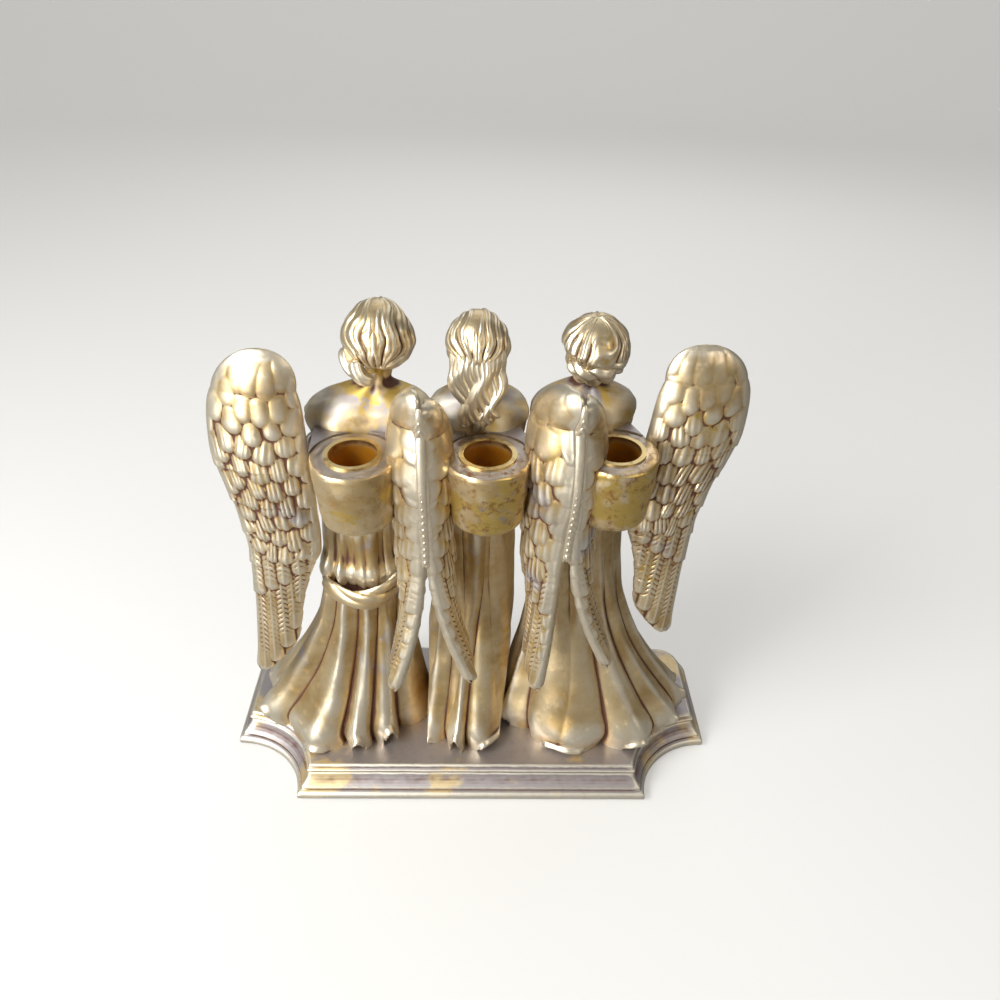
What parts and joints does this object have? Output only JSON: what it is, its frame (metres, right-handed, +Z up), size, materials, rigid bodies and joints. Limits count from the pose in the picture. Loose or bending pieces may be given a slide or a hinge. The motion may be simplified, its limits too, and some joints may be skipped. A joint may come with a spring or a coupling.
{
  "type": "figural candle holder",
  "caption": "Candle holder with three winged robed figures side by side on a moulded plinth, with round taper candle sockets carried on their backs.",
  "frame": {"origin": "on the ground, under the middle of the plinth", "axes": "+Z up, -Y towards the candle sockets, +Y the way the figures face, +X to the right seen from the sockets' side"},
  "size_m": [0.293, 0.112, 0.291],
  "materials": {
    "gilded_resin": "cast resin, painted antique gold with worn metal leaf, satin",
    "brass_cup": "spun brass, satin, dulled inside by heat",
    "felt": "plain dark felt"
  },
  "bodies": {
    "root": {"plinth": "gilded_resin", "left_gown": "gilded_resin", "left_bust": "gilded_resin", "left_head": "gilded_resin", "left_arms": "gilded_resin", "left_drum": "gilded_resin", "left_bracket": "gilded_resin", "middle_gown": "gilded_resin", "middle_bust": "gilded_resin", "middle_head": "gilded_resin", "middle_arms": "gilded_resin", "middle_drum": "gilded_resin", "middle_bracket": "gilded_resin", "right_gown": "gilded_resin", "right_bust": "gilded_resin", "right_head": "gilded_resin", "right_arms": "gilded_resin", "right_drum": "gilded_resin", "right_bracket": "gilded_resin", "left_sash": "gilded_resin", "left_outer_wing": "gilded_resin", "left_inner_wing": "gilded_resin", "middle_left_wing": "gilded_resin", "middle_right_wing": "gilded_resin", "right_inner_wing": "gilded_resin", "right_outer_wing": "gilded_resin", "base_felt": "felt"},
    "left_cup": {"left_liner": "brass_cup"},
    "middle_cup": {"middle_liner": "brass_cup"},
    "right_cup": {"right_liner": "brass_cup"}
  },
  "joints": [
    {"name": "left_cup_lift", "type": "slide", "parent": "root", "child": "left_cup", "axis": [0, 0, 1], "range_m": [0, 0.034]},
    {"name": "middle_cup_lift", "type": "slide", "parent": "root", "child": "middle_cup", "axis": [0, 0, 1], "range_m": [0, 0.034]},
    {"name": "right_cup_lift", "type": "slide", "parent": "root", "child": "right_cup", "axis": [0, 0, 1], "range_m": [0, 0.034]}
  ]
}
